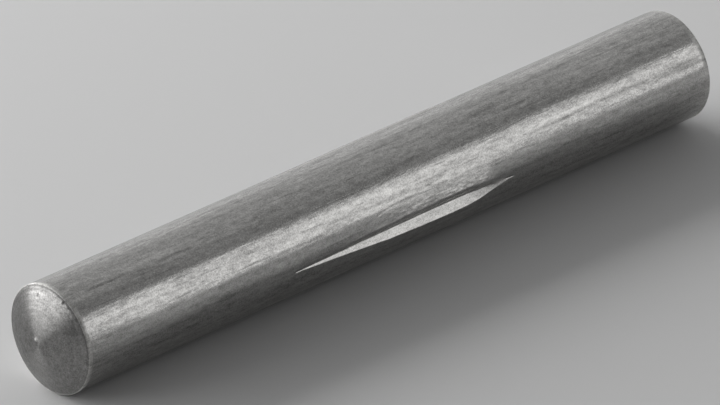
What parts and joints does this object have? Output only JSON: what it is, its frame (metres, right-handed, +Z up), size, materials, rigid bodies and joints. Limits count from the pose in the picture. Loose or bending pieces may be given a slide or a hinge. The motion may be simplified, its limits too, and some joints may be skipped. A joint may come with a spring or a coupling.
{
  "type": "grooved pin",
  "caption": "Steel centre-grooved pin with domed ends: V grooves raise crests in the middle third that grip a plain bore.",
  "frame": {"origin": "on the pin's axis, halfway between the tops of its two domed ends", "axes": "+X along the pin towards the end nearest the grooves' deepest place, +Z up as the pin lies"},
  "size_m": [0.06, 0.008, 0.008],
  "materials": {
    "drawn_steel": "bright drawn steel with fine draw lines, turned end faces and small handling marks"
  },
  "bodies": {
    "root": {"grooved_pin": "drawn_steel"}
  },
  "joints": []
}
